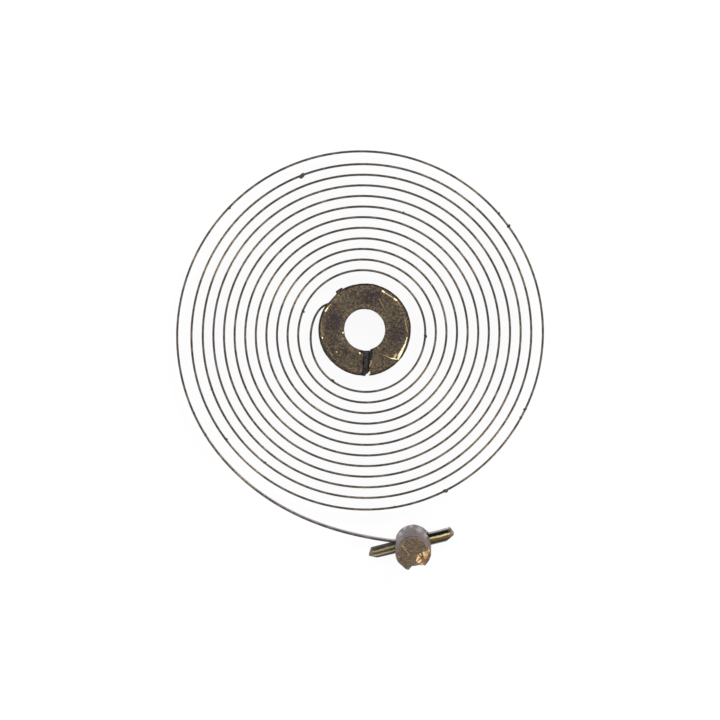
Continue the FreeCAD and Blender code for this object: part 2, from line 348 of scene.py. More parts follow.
# Shader maths: a socket that takes plain sums
class Sock:
    def __init__(self, tree, out=None):
        self.tree = tree
        self.out = out

    def node(self, kind, settings, values, out=0):
        made = self.tree.nodes.new("ShaderNode" + kind)
        for key, value in settings.items():
            if key == "stops":
                ramp = made.color_ramp.elements
                while len(ramp) < len(value):
                    ramp.new(1)
                for stop, (place, colour) in zip(ramp, value):
                    stop.position = place
                    stop.color = colour
            else:
                setattr(made, key, value)
        for key, value in values.items():
            if isinstance(value, Sock):
                self.tree.links.new(value.out, made.inputs[key])
            else:
                made.inputs[key].default_value = value
        return Sock(self.tree, made.outputs[out])

    def maths(self, operation, *values):
        return self.node("Math", {"operation": operation}, dict(enumerate(values)))

    def __add__(self, other):
        return self.maths("ADD", self, other)

    def __sub__(self, other):
        return self.maths("SUBTRACT", self, other)

    def __rsub__(self, other):
        return self.maths("SUBTRACT", other, self)

    def __mul__(self, other):
        return self.maths("MULTIPLY", self, other)

    def __truediv__(self, other):
        return self.maths("DIVIDE", self, other)

    def __abs__(self):
        return self.maths("ABSOLUTE", self)

    __radd__ = __add__
    __rmul__ = __mul__

    def most(self, other):
        return self.maths("MAXIMUM", self, other)

    def band(self, low, high):
        # 0 below low, 1 above high, eased between
        return self.node("MapRange", {"interpolation_type": "SMOOTHSTEP"}, {0: self, 1: low, 2: high})

    def axis(self, name):
        return self.node("SeparateXYZ", {}, {0: self}, name)

    def grain(self, scale, detail=4, rough=0.55, twist=0):
        values = {"Vector": self, "Scale": scale, "Detail": detail, "Roughness": rough, "Distortion": twist}
        return self.node("TexNoise", {}, values)

    def stretched(self, along, turn=(0, 0, 0)):
        return self.node("Mapping", {}, {"Vector": self, "Rotation": turn, "Scale": along})

    def over(self, low, high):
        # this factor chooses between two colours
        return self.node("Mix", {"data_type": "RGBA"}, {0: self, 6: low, 7: high}, 2)

    def vectors(self, operation, other, out=0):
        return self.node("VectorMath", {"operation": operation}, {0: self, 1: other}, out)

    def farFrom(self, x, y):
        # how far off a point on the piece lies, seen from above
        return self.vectors("MULTIPLY", (1, 1, 0)).vectors("DISTANCE", (x, y, 0), 1)

    def stroke(self, start, end, startWidth, endWidth):
        # 1 along a line drawn on the piece from above, fading out over its width
        way = Vector(end) - Vector(start)
        near = self.vectors("MULTIPLY", (1, 1, 0)).vectors("SUBTRACT", (*start, 0))
        reach = near.vectors("DOT_PRODUCT", (*(way / way.length_squared), 0), 1).most(0)
        reach = reach.maths("MINIMUM", reach, 1)
        foot = self.node("VectorMath", {"operation": "SCALE"}, {0: (*way, 0), "Scale": reach})
        off = near.vectors("DISTANCE", foot, 1) / (startWidth + (endWidth - startWidth) * reach)
        return 1 - off.band(0.2, 1)


def bareLook(name):
    # a material with an empty tree
    look = bpy.data.materials.new(name)
    look.use_nodes = True
    look.node_tree.nodes.clear()
    return look, Sock(look.node_tree)


def newLook(name):
    # a material with the piece's own coordinates, in millimetres
    look, root = bareLook(name)
    place = root.node("TexCoord", {}, {}, "Object")
    place = root.node("VectorMath", {"operation": "SCALE"}, {0: place, "Scale": 1 / mm})
    return look, root, place


def placeIn(place, own):
    # the same place measured along a piece's own axes
    back = own.inverted()
    return place.node("Mapping", {}, {
        "Vector": place, "Rotation": tuple(back.to_euler()), "Location": tuple(back.translation),
    })


def closeLook(root, shader):
    output = root.tree.nodes.new("ShaderNodeOutputMaterial")
    root.tree.links.new(shader.out, output.inputs[0])


def metal(root, finish, colour, patches, height, sheen=1):
    # rough has the least roughness and what the patches add to it; the height stands up by the grain's depth
    least, more = finish["rough"]
    normal = root.node("Bump", {}, {"Strength": 1, "Distance": finish["grainDepth"] * mm, "Height": height})
    return root.node("BsdfPrincipled", {}, {
        "Base Color": colour, "Roughness": least + patches * more, "Metallic": sheen * finish["metallic"],
        "Specular IOR Level": finish.get("shine", 0.5), "Normal": normal,
    })


def faceUp(root):
    # how much a face looks straight up
    return root.node("NewGeometry", {}, {}, "Normal").axis("Z")


def alongAxis(root, way):
    # how much a face looks along a piece's own axis
    return root.node("NewGeometry", {}, {}, "Normal").vectors("DOT_PRODUCT", tuple(way), 1)


# Strip
stripLook = {
    "edge": paint(74, 66, 62),
    "edgeLight": paint(106, 98, 92),
    "wearAndHighlight": paint(178, 164, 138),
    "side": paint(152, 144, 148),
    "sideDark": paint(124, 116, 118),
    "dirt": paint(34, 28, 26),
    "highlightBearings": (36, 142, 222, 312),     # painted highlight where the edge's roundings catch the light
    "highlightArc": 26,
    "rough": (0.24, 0.14),
    "grainDepth": 0.002,
    "metallic": 0.8,
}


def makeStripLook():
    look, root, place = newLook("dulledSpringSteel")
    streaks = place.grain(7, 5, 0.7)
    specks = place.grain(24, 2, 0.6)
    runs = place.grain(1.1, 3, 0.6)
    around = place.vectors("SUBTRACT", tuple(coil["centre"])).vectors("MULTIPLY", (1, 1, 0))
    around = around.vectors("NORMALIZE", (0, 0, 0))
    arcStart = cos(radians(stripLook["highlightArc"]))
    # lighter roundings: a painted highlight at these bearings, broken up by patches of real wear
    wearAndHighlight = reduce(Sock.most, (
        around.vectors("DOT_PRODUCT", tuple(heading(bearing)), 1).band(arcStart, 1)
        for bearing in stripLook["highlightBearings"]))
    wearAndHighlight = (wearAndHighlight * 0.22 + runs * 1.1 + (streaks - 0.5) * 0.6).band(0.64, 0.92)
    edge = streaks.band(0.42, 0.66).over(stripLook["edge"], stripLook["edgeLight"])
    rolled = place.stretched((2, 2, 40)).grain(1, 3, 0.6)       # rolling marks run along the strip
    side = (rolled * 0.6 + streaks * 0.4).band(0.36, 0.62).over(stripLook["sideDark"], stripLook["side"])
    flat = faceUp(root)
    colour = flat.band(0.15, 0.5).over(side, edge)
    corner = flat.band(0.1, 0.3) * (1 - flat.band(0.88, 0.99) * 0.85)
    # the edge's roundings take the painted highlight and the wear
    colour = (wearAndHighlight * corner * 0.8).over(colour, stripLook["wearAndHighlight"])
    colour = (specks.band(0.62, 0.70) * (0.25 + flat.band(0.1, 0.5) * 0.6)).over(colour, stripLook["dirt"])
    closeLook(root, metal(root, stripLook, colour, streaks, streaks + rolled))
    return look


def bezier(start, startWay, end, endWay, reach, steps):
    span = (end - start).length
    poles = (start, start + startWay * span * reach[0], end - endWay * span * reach[1], end)
    points = []
    for k in range(steps + 1):
        t = k / steps
        weights = ((1 - t) ** 3, 3 * (1 - t) ** 2 * t, 3 * (1 - t) * t * t, t ** 3)
        points.append(sum((pole * weight for pole, weight in zip(poles, weights)), Vector()))
    return points


def stripLine():
    holeWay = -heading(collet["holeBearing"])
    seatY = collet["seat"] - halfThickness
    innerEnd = sqrt(collet["radius"] ** 2 - (colletHoleReach + collet["seat"]) ** 2) - collet["pinSetback"]
    mouth = -sqrt(collet["radius"] ** 2 - (colletHoleReach + seatY) ** 2)
    points = [colletFrame @ Vector((innerEnd, seatY, 0))]
    join = coil["firstBearing"] + coil["innerArc"]
    points += bezier(colletFrame @ Vector((mouth, seatY, 0)), holeWay, coilPoint(join), coilWay(join),
                     coil["innerReach"], strip["easeSteps"])
    steps = round((coilEnd - join) / strip["stationArc"])
    points += [coilPoint(join + (coilEnd - join) * k / steps) for k in range(1, steps + 1)]

    corner = studFrame @ Vector((studBendX, studStripY, studHoleHeight))
    wayIn = studTurn @ Vector((1, 0, 0))
    arrival = Matrix.Rotation(radians(-stud["bend"]), 3, "Z") @ Vector((wayIn.x, wayIn.y, 0)).normalized()
    bendStart = corner - arrival * stud["bendLeg"]
    bendEnd = corner + wayIn * stud["bendLeg"]
    points += bezier(coilPoint(coilEnd), coilWay(coilEnd), bendStart, arrival, coil["outerReach"],
                     strip["easeSteps"])[1:]
    for k in range(1, strip["bendSteps"] + 1):
        t = k / strip["bendSteps"]
        points.append(bendStart * (1 - t) ** 2 + corner * 2 * t * (1 - t) + bendEnd * t * t)
    points.append(studFrame @ Vector((studMouth + strip["tail"], studStripY, studHoleHeight)))
    return points


def makeStrip():
    # the strip's section: a flat rectangle with its corners rounded
    startFresh()
    bpy.ops.mesh.primitive_plane_add(size=1)
    section = bpy.context.object
    section.scale = (strip["thickness"], strip["height"], 1)
    fixTransform(section)
    bpy.ops.object.mode_set(mode="EDIT")
    bpy.ops.mesh.bevel(offset=strip["cornerRound"], segments=strip["cornerSteps"], affect="VERTICES")
    bpy.ops.mesh.delete(type="ONLY_FACE")
    bpy.ops.object.mode_set(mode="OBJECT")
    bpy.ops.object.convert(target="CURVE")
    section.data.dimensions = "2D"

    points = stripLine()
    toGo = [0.0]     # how much of the strip is still to come, counted back from the stud
    for before, after in zip(points[::-1], points[-2::-1]):
        toGo.append(toGo[-1] + (after - before).length)
    toGo.reverse()
    wayIn = studTurn @ Vector((1, 0, 0))
    fullTilt = (up - wayIn * wayIn.z).angle(studUp)

    line = bpy.data.curves.new("stripLine", "CURVE")
    line.dimensions = "3D"
    line.twist_mode = "Z_UP"
    spline = line.splines.new("POLY")
    spline.points.add(len(points) - 1)
    for knot, point, ahead in zip(spline.points, points, toGo):
        knot.co = (*point, 1)
        knot.tilt = fullTilt * smooth(1 - ahead / strip["leanLength"])
    line.bevel_mode = "OBJECT"
    line.bevel_object = section
    line.use_fill_caps = True
    piece = bpy.data.objects.new("strip", line)
    bpy.context.scene.collection.objects.link(piece)
    pick(piece)
    bpy.ops.object.convert(target="MESH")
    pick(section)
    bpy.ops.object.delete()
    pick(piece)
    bpy.ops.object.mode_set(mode="EDIT")
    bpy.ops.mesh.select_all(action="SELECT")
    bpy.ops.mesh.remove_doubles(threshold=touching)
    bpy.ops.mesh.normals_make_consistent(inside=False)
    bpy.ops.object.mode_set(mode="OBJECT")
    print("strip length", round(toGo[0], 2), "mm")
    handOver(piece, "spring_strip", "spring_steel", "hairspring", makeStripLook(), angle=40)


# Specks of dust and lint stuck to the strip: x, y, size
dust = {
    "specks": (
        (-1.146, 2.922, 0.052), (-2.546, 2.305, 0.026), (-1.606, 1.471, 0.024), (-1.157, 0.353, 0.030),
        (0.589, 2.888, 0.024), (0.749, 2.219, 0.024), (1.752, 1.518, 0.024), (2.757, 1.949, 0.034),
        (2.569, 2.196, 0.026), (-0.616, -0.950, 0.032), (-3.222, -1.628, 0.026), (-3.004, -2.033, 0.026),
        (-2.607, -2.090, 0.034), (-2.896, -1.146, 0.030), (-1.634, -0.488, 0.022), (1.556, -3.061, 0.042),
        (3.051, -1.492, 0.030), (2.950, -1.690, 0.024), (0.606, -3.357, 0.022), (1.165, -0.108, 0.036),
        (-1.877, -2.538, 0.026), (0.020, 3.374, 0.020),
    ),
    "drawnIn": 0.6,                # how far each is drawn onto the strip's edge from its place
    "squash": (1.25, 0.8, 0.6),
    "uneven": (0.03, 0.02),
    "shade": paint(52, 44, 42),
    "shadeWarm": paint(88, 74, 62),
    "rough": (0.8, 0.15),
    "grainDepth": 0.01,
    "metallic": 0,
}


def makeDust():
    line = stripLine()
    pieces = []
    for x, y, size in dust["specks"]:
        spot = min(line, key=lambda point: hypot(point.x - x, point.y - y))
        on = Vector((x, y, spot.z + halfHeight))
        on += (Vector((spot.x, spot.y, on.z)) - on) * dust["drawnIn"]
        startFresh()
        bpy.ops.mesh.primitive_ico_sphere_add(subdivisions=3, radius=size, location=on)
        speck = bpy.context.object
        speck.scale = dust["squash"]
        speck.rotation_euler.z = radians(90 + 180 * (x + y))        # each lies another way round
        fixTransform(speck)
        unsettle(speck, *dust["uneven"])
        pieces.append(speck)
    pick(*pieces)
    bpy.ops.object.join()
    look, root, place = newLook("dustAndLint")
    grain = place.grain(30, 4, 0.7)
    colour = grain.band(0.45, 0.62).over(dust["shade"], dust["shadeWarm"])
    closeLook(root, metal(root, dust, colour, grain, grain))
    handOver(pieces[0], "strip_dust", "spring_steel", None, look, angle=80)


# Brass that has gone brown, with bright places where it is worn, painted glints on its rim and painted shade
# at its edges
colletLook = {
    "brown": paint(76, 65, 52),
    "umber": paint(62, 53, 44),
    "purple": paint(49, 40, 42),
    "shade": paint(38, 31, 29),
    "wall": paint(72, 62, 51),
    "wallLight": paint(92, 79, 62),
    "olive": paint(72, 70, 50),
    "tan": paint(101, 86, 66),
    "pale": paint(142, 123, 98),
    # near black of the rounded top edge and of the dark strokes: painted shade
    "rim": paint(26, 20, 18),
    # gold and bright colour the wear and the painted rim glints
    "gold": paint(150, 128, 88),
    "bright": paint(255, 246, 200),
    # where the brown goes purple, and where it goes green: x, y, reach
    "purplePlaces": ((-0.572, 0.156, 0.30), (0.591, -0.063, 0.30), (0.110, 0.650, 0.26)),
    "olivePlaces": ((-0.253, -0.644, 0.26), (0.547, 0.300, 0.22), (-0.36, 0.56, 0.18)),
    "palePlaces": (
        (-0.020, 0.760, 0.24), (-0.450, 0.640, 0.22), (-0.310, 0.330, 0.16), (0.250, -0.640, 0.18),
    ),
    # bright wear and painted glints on the rim's rounding, seen from above: from, to, width at each end,
    # strength
    "wear": (
        ((0.343, 0.730), (0.372, 0.712), 0.026, 0.020, 1.0),
        ((0.372, 0.712), (0.560, 0.590), 0.014, 0.012, 0.62),
        ((0.560, 0.590), (0.600, 0.562), 0.020, 0.024, 1.0),
        ((0.618, 0.545), (0.690, 0.440), 0.016, 0.010, 0.35),
        ((0.806, -0.150), (0.770, -0.270), 0.012, 0.020, 0.75),
        ((0.770, -0.270), (0.715, -0.390), 0.020, 0.030, 1.0),
        ((0.715, -0.390), (0.665, -0.480), 0.034, 0.044, 1.0),
        ((0.665, -0.480), (0.640, -0.560), 0.040, 0.026, 0.95),
        ((0.600, -0.470), (0.560, -0.540), 0.034, 0.040, 0.55),
        ((0.640, -0.566), (0.500, -0.545), 0.014, 0.018, 0.80),
        ((0.500, -0.545), (0.350, -0.480), 0.014, 0.008, 0.50),
        ((-0.744, 0.352), (-0.700, 0.418), 0.022, 0.018, 0.95),
        ((-0.700, 0.418), (-0.640, 0.490), 0.014, 0.008, 0.60),
        ((-0.818, 0.170), (-0.826, 0.000), 0.010, 0.014, 0.34),
        ((-0.826, 0.000), (-0.806, -0.150), 0.016, 0.014, 0.38),
        ((0.760, 0.230), (0.812, -0.050), 0.014, 0.018, 0.33),
        ((-0.804, -0.150), (-0.800, -0.164), 0.022, 0.018, 1.0),
        ((-0.412, -0.056), (-0.412, -0.068), 0.022, 0.018, 0.90),
        ((0.271, 0.577), (0.330, 0.480), 0.008, 0.008, 0.42),
        ((0.330, 0.480), (0.402, 0.345), 0.008, 0.006, 0.36),
        ((0.240, 0.335), (0.370, 0.205), 0.010, 0.008, 0.45),
        ((-0.093, -0.442), (-0.088, -0.456), 0.024, 0.020, 0.95),
        ((0.082, -0.800), (0.096, -0.836), 0.026, 0.022, 0.90),
        ((0.128, -0.600), (0.094, -0.700), 0.018, 0.014, 0.48),
        ((-0.529, -0.420), (-0.524, -0.432), 0.020, 0.016, 0.70),
        ((-0.180, -0.655), (-0.176, -0.665), 0.016, 0.014, 0.45),
        ((-0.745, -0.440), (-0.640, -0.575), 0.006, 0.008, 0.35),
    ),
    # painted shade beside the slot and at the bore's edge, and darker strokes along the upper rim
    "darkStrokes": (
        ((0.122, -0.400), (0.112, -0.560), 0.060, 0.034, 1.0),
        ((-0.080, -0.414), (0.120, -0.414), 0.030, 0.030, 1.0),
        ((-0.255, 0.835), (0.090, 0.868), 0.026, 0.034, 0.80),
        ((0.090, 0.868), (0.250, 0.828), 0.030, 0.020, 0.80),
        ((-0.690, 0.500), (-0.560, 0.690), 0.022, 0.030, 0.85),
        ((-0.580, 0.690), (-0.420, 0.790), 0.030, 0.022, 0.90),
    ),
    "edgeBand": (0.455, 0.800),    # the paler bands beside the bore and inside the rim: painted sheen where the edges begin to round over
    "edgeReach": 0.055,
    "rough": (0.38, 0.12),
    "grainDepth": 0.010,
    "metallic": 0.7,
}


def drawStrokes(place, strokes):
    return reduce(Sock.most, (
        place.stroke(start, end, startWidth, endWidth) * strength
        for start, end, startWidth, endWidth, strength in strokes))


def drawPatches(place, patches, ragged):
    spread = reduce(Sock.most, (1 - place.farFrom(x, y) / reach for x, y, reach in patches))
    return (spread + ragged).band(0.1, 0.75)


def makeColletLook():
    look, root, place = newLook("brownedColletBrass")
    flat = faceUp(root)
    clouds = place.grain(2.1, 4, 0.6, 0.8)
    mottle = place.grain(9, 5, 0.72)
    speckle = place.grain(27, 3, 0.8)
    spots = place.stretched((1, 1, 1), (0.5, 0.8, 0.3)).grain(20, 3, 0.8)
    ragged = (mottle - 0.5) * 1.6 + (clouds - 0.5) * 1.2
    base = mottle * 0.5 + clouds * 0.2 + speckle * 0.3
    colour = base.band(0.42, 0.58).over(colletLook["umber"], colletLook["brown"])
    paler = drawPatches(place, colletLook["palePlaces"], ragged)
    purple = drawPatches(place, colletLook["purplePlaces"], ragged)
    colour = (paler * 0.45).over(colour, colletLook["tan"])
    colour = (purple * 0.9).over(colour, colletLook["purple"])
    colour = (drawPatches(place, colletLook["olivePlaces"], ragged) * 0.6).over(colour, colletLook["olive"])
    middle = place.farFrom(0, 0)
    # paler bands along the edges: painted sheen
    edges = reduce(Sock.most, (
        1 - (abs(middle - radius) / colletLook["edgeReach"]).band(0.2, 1)
        for radius in colletLook["edgeBand"]))
    tanned = (speckle + edges * 0.10 + (mottle - 0.5) * 0.35).band(0.50, 0.60)
    colour = (tanned * (0.72 - purple * 0.45)).over(colour, colletLook["tan"])
    colour = ((speckle + edges * 0.05).band(0.60, 0.68) * 0.8).over(colour, colletLook["pale"])
    colour = (spots.band(0.52, 0.60) * 0.85).over(colour, colletLook["shade"])
    # painted shade strokes in the near black
    colour = drawStrokes(place, colletLook["darkStrokes"]).over(colour, colletLook["rim"])
    turned = place.stretched((2, 2, 46)).grain(1, 3, 0.6)       # turning marks run round the wall
    wall = (turned * 0.4 + speckle * 0.6).band(0.40, 0.62).over(colletLook["wall"], colletLook["wallLight"])
    wall = (clouds.band(0.48, 0.62) * 0.7).over(wall, colletLook["purple"])
    # the rounded top edge is painted near black: painted shade
    around = flat.band(0.04, 0.30).over(wall, colletLook["rim"])
    colour = flat.band(0.45, 0.86).over(around, colour)
    # partly wear, partly painted glints where the rim rounds over
    wear = drawStrokes(place, colletLook["wear"]) * flat.band(0.3, 0.5)
    wear = wear * (0.25 + speckle * 1.5).band(0.3, 1)
    colour = wear.band(0.08, 0.45).over(colour, colletLook["gold"])
    colour = wear.band(0.42, 0.85).over(colour, colletLook["bright"])
    closeLook(root, metal(root, colletLook, colour, mottle - wear, speckle + mottle * 2))
    return look


def makeCollet():
    rim = collet["topRound"]
    broken = collet["edgeBreak"]
    piece = turnBody(collet["bore"], collet["radius"], collet["height"], (
        (True, True, rim, 7), (True, False, broken, 2), (False, True, broken, 2), (False, False, broken, 2),
    ), collet["cuts"], collet["segments"])
    for grain, rise in collet["uneven"]:
        unsettle(piece, grain, rise)
    out = heading(collet["flatBearing"])
    planeOff(piece, out * (collet["radius"] - collet["flatDepth"]), out)

    # the raised lip beside the flat
    foot = collet["radius"] - 2 * collet["flatDepth"]
    depth = collet["radius"] + collet["burrRise"] - foot
    out = heading(collet["burrBearing"])
    centre = out * (foot + depth / 2) + up * (collet["height"] - rim / 2 - collet["burrHeight"] / 2)
    burr = makeBlock(centre, (collet["burrWidth"], collet["burrHeight"], depth), out)
    softenEdges(burr, depth / 4, 3)
    carve(piece, burr, "UNION")

    # the saw cut, with a dark body set in it that stands in for the shade down the slot
    way = heading(collet["slotBearing"])
    across = heading(collet["slotBearing"] + 90)
    centre = way * collet["radius"] + across * collet["slotOffset"] + up * collet["height"] / 2
    carve(piece, makeBlock(centre, (collet["slotWidth"], 3 * collet["height"], 2 * collet["radius"]), way))
    makeSlotShadeFill(way, across)

    carve(piece, makeDrill(colletHoleRadius, 4 * collet["radius"], colletFrame))
    handOver(piece, "collet_ring", "collet_brass", "collet", makeColletLook())


slotShadeFill = {
    "from": 0.41,          # clear of the bore
    "to": 0.868,
    "top": 0.545,
    "bottom": 0.04,
    "notch": (0.03, 0.815, 48),    # where and how steeply it falls away at the slot's mouth
    "uneven": (0.07, 0.05),
    "dark": paint(22, 14, 17),
    "sheen": paint(70, 50, 62),
    "remeshed": 0.012,
    "rough": (0.38, 0.25),
    "grainDepth": 0.02,
    "metallic": 0.1,
}


def makeSlotShadeFill(way, across):
    # a dark body between the slot's walls: painted shade where the slot lies in shadow, with a painted sheen
    # on it
    length = slotShadeFill["to"] - slotShadeFill["from"]
    tall = slotShadeFill["top"] - slotShadeFill["bottom"]
    at = way * (slotShadeFill["from"] + length / 2) + across * collet["slotOffset"]
    at += up * (slotShadeFill["bottom"] + tall / 2)
    piece = makeBlock(at, (collet["slotWidth"], tall, length), way)
    side, reach, slope = slotShadeFill["notch"]
    out = (way * cos(radians(slope)) + across * sin(radians(slope))).normalized()
    planeOff(piece, way * reach + across * (collet["slotOffset"] + side), out)
    remesh = piece.modifiers.new("remesh", "REMESH")
    remesh.mode = "VOXEL"
    remesh.voxel_size = slotShadeFill["remeshed"]
    applyAll(piece)
    unsettle(piece, *slotShadeFill["uneven"])

    look, root, place = newLook("slotShadeLook")
    patches = place.grain(11, 4, 0.6)
    fine = place.grain(34, 3, 0.7)
    colour = patches.band(0.54, 0.70).over(slotShadeFill["dark"], slotShadeFill["sheen"])
    closeLook(root, metal(root, slotShadeFill, colour, fine, patches + fine * 0.5))
    handOver(piece, "slot_shade_fill", "collet_brass", None, look, angle=60)


studLook = {
    "face": paint(100, 85, 66),
    "faceDark": paint(78, 65, 54),
    "faceOlive": paint(107, 95, 66),
    "facePale": paint(140, 122, 104),
    "faceBleeds": 0.95,            # how strongly the face's brown runs over the top edge
    "side": paint(127, 116, 117),
    "sideDark": paint(96, 85, 84),
    # sideLight also colours the painted highlights
    "sideLight": paint(180, 168, 174),
    "border": paint(134, 121, 122),
    "borderFrom": 0.26,
    "edge": paint(58, 48, 46),
    "gold": paint(158, 136, 96),
    "bright": paint(226, 206, 140),
    # painted highlights on the side near its top: x, y, reach
    "highlightPlaces": (
        (0.758, -3.755, 0.07), (1.038, -3.796, 0.09), (0.679, -3.875, 0.06), (1.160, -3.902, 0.06),
        (0.880, -3.730, 0.05),
    ),
    "wear": (
        ((0.708, -4.092), (0.752, -4.130), 0.014, 0.016, 0.50),
        ((0.752, -4.130), (0.790, -4.200), 0.014, 0.010, 0.40),
        ((0.790, -4.200), (0.842, -4.262), 0.010, 0.012, 0.42),
        ((0.842, -4.240), (0.815, -4.300), 0.010, 0.008, 0.40),
        ((0.640, -4.290), (0.665, -4.315), 0.012, 0.010, 0.34),
        ((1.205, -4.130), (1.228, -4.160), 0.014, 0.012, 0.50),
    ),
    "rough": (0.38, 0.15),
    "grainDepth": 0.008,
    "metallic": 0.7,
}


def makeStudLook():
    look, root, place = newLook("brownedStudBrass")
    local = placeIn(place, studFrame)
    onTop = alongAxis(root, studUp)
    turned = local.stretched((5, 5, 44)).grain(1, 3, 0.6)       # turning marks run round the side
    fine = place.grain(14, 5, 0.75)
    speckle = place.grain(34, 3, 0.8)
    clouds = place.grain(3.5, 4)
    side = (turned * 0.1 + fine * 0.9).band(0.44, 0.54).over(studLook["sideDark"], studLook["side"])
    side = (clouds.band(0.46, 0.60) * 0.65).over(side, studLook["face"])
    # the side's light specks, and painted highlights near the top
    lightSpecksAndHighlights = drawPatches(place, studLook["highlightPlaces"], (fine - 0.5) * 2)
    lightSpecksAndHighlights = lightSpecksAndHighlights.most((speckle * 0.5 + fine * 0.5).band(0.51, 0.60) * 0.5)
    side = (lightSpecksAndHighlights * 0.8).over(side, studLook["sideLight"])
    face = (clouds * 0.3 + fine * 0.4 + speckle * 0.3).band(0.42, 0.56)
    face = face.over(studLook["faceDark"], studLook["face"])
    face = (fine.band(0.50, 0.64) * 0.6).over(face, studLook["faceOlive"])
    face = (speckle.band(0.56, 0.66) * 0.7).over(face, studLook["facePale"])
    face = ((1 - speckle).band(0.56, 0.66) * 0.75).over(face, studLook["edge"])
    border = local.farFrom(0, 0) + (fine - 0.5) * 0.16 + (speckle - 0.5) * 0.06
    face = (border.band(studLook["borderFrom"], stud["radius"]) * 0.5).over(face, studLook["border"])
    nearTop = local.axis("Z").band(stud["length"] - 0.42, stud["length"]) * studLook["faceBleeds"]
    nearTop = nearTop + (fine - 0.5) * 1.5 + (clouds - 0.5) * 0.8
    colour = (onTop * 0.8 + nearTop).band(0.10, 1.1).over(side, face)
    onFace = onTop.band(0.6, 0.9) * local.axis("Z").band(stud["length"] - 0.2, stud["length"] - 0.1)
    wear = drawStrokes(place, studLook["wear"]) * (0.3 + speckle * 1.4).band(0.3, 1) * onFace
    colour = wear.band(0.08, 0.45).over(colour, studLook["gold"])
    colour = wear.band(0.42, 0.85).over(colour, studLook["bright"])
    colour = drawGlints(place, colour, fine, onFace)
    closeLook(root, metal(root, studLook, colour, fine, fine * 2 + turned * 0.5 + speckle))
    return look


crushLook = {
    "base": paint(122, 98, 74),
    "warm": paint(164, 130, 96),
    "gold": paint(212, 178, 126),
    "cream": paint(255, 238, 198),
    "rose": paint(134, 90, 74),
    "shade": paint(88, 78, 82),
    "dark": paint(92, 66, 38),
    # where the torn metal gleams: from, to, width at each end, strength
    "glints": (
        ((1.122, -4.228), (1.140, -4.282), 0.036, 0.046, 0.62),
        ((1.052, -4.256), (1.066, -4.280), 0.030, 0.028, 0.48),
        ((1.014, -4.282), (1.040, -4.320), 0.026, 0.032, 0.52),
        ((1.008, -4.328), (0.992, -4.380), 0.034, 0.034, 0.50),
        ((1.056, -4.374), (1.024, -4.402), 0.030, 0.036, 1.0),
        ((1.150, -4.325), (1.180, -4.262), 0.044, 0.050, 0.32),
        ((1.222, -4.180), (1.216, -4.196), 0.030, 0.028, 0.42),
        ((1.186, -4.203), (1.180, -4.224), 0.028, 0.028, 0.36),
        ((1.075, -4.440), (1.100, -4.456), 0.034, 0.030, 0.34),
    ),
    "scratches": (
        ((1.006, -4.248), (1.082, -4.320), 0.016, 0.026, 0.90),
        ((1.094, -4.282), (1.096, -4.300), 0.028, 0.028, 0.90),
        ((1.082, -4.320), (0.998, -4.396), 0.022, 0.014, 0.75),
        ((1.190, -4.310), (1.235, -4.262), 0.014, 0.012, 0.60),
    ),
    "rosePlaces": ((1.126, -4.350, 0.070), (1.190, -4.345, 0.065)),
    "shadePlaces": ((1.205, -4.400, 0.085), (1.262, -4.285, 0.055), (1.150, -4.480, 0.060)),
    "rough": (0.34, 0.2),
    "grainDepth": 0.02,
    "metallic": 0.7,
}


def drawGlints(place, colour, fine, where):
    # painted glints on the crushed corner's tears, and its dark creases; they run out over the stud's face
    glints = drawStrokes(place, crushLook["glints"]) * (0.5 + fine) * where
    colour = glints.band(0.06, 0.42).over(colour, crushLook["gold"])
    colour = glints.band(0.42, 0.90).over(colour, crushLook["cream"])
    return (drawStrokes(place, crushLook["scratches"]) * where).over(colour, crushLook["dark"])


def makeCrushLook():
    look, root, place = newLook("crushedBrightBrass")
    streaks = place.stretched((34, 7, 7), (0, 0, 0.5)).grain(1, 4, 0.7)
    spots = place.grain(12, 4, 0.7)
    fine = place.grain(34, 3, 0.8)
    ragged = (spots - 0.5) * 1.6
    colour = (spots * 0.6 + streaks * 0.4).band(0.44, 0.56).over(crushLook["base"], crushLook["warm"])
    colour = (drawPatches(place, crushLook["rosePlaces"], ragged) * 0.8).over(colour, crushLook["rose"])
    colour = (drawPatches(place, crushLook["shadePlaces"], ragged) * 0.8).over(colour, crushLook["shade"])
    colour = drawGlints(place, colour, fine, 1)
    closeLook(root, metal(root, crushLook, colour, fine, spots * 2 + streaks + fine))
    return look


def cutGroove(piece):
    # a four-sided bar, stretched until its edge opens as wide as the groove
    foot = heading(stud["grooveBearing"]) * (stud["radius"] - stud["grooveDepth"])
    spread = 2 * stud["radius"]
    turn = stud["grooveBearing"] + stud["grooveTurn"]
    startFresh()
    bpy.ops.mesh.primitive_cylinder_add(vertices=4, radius=spread, depth=stud["length"])
    bar = bpy.context.object
    bar.scale = (1, tan(radians(stud["grooveOpening"] / 2)), 1)
    fixTransform(bar)
    bar.rotation_euler.z = radians(turn)
    bar.location = foot + heading(turn) * spread + up * (1.5 * stud["length"] - stud["grooveLength"])
    fixTransform(bar)
    carve(piece, bar)


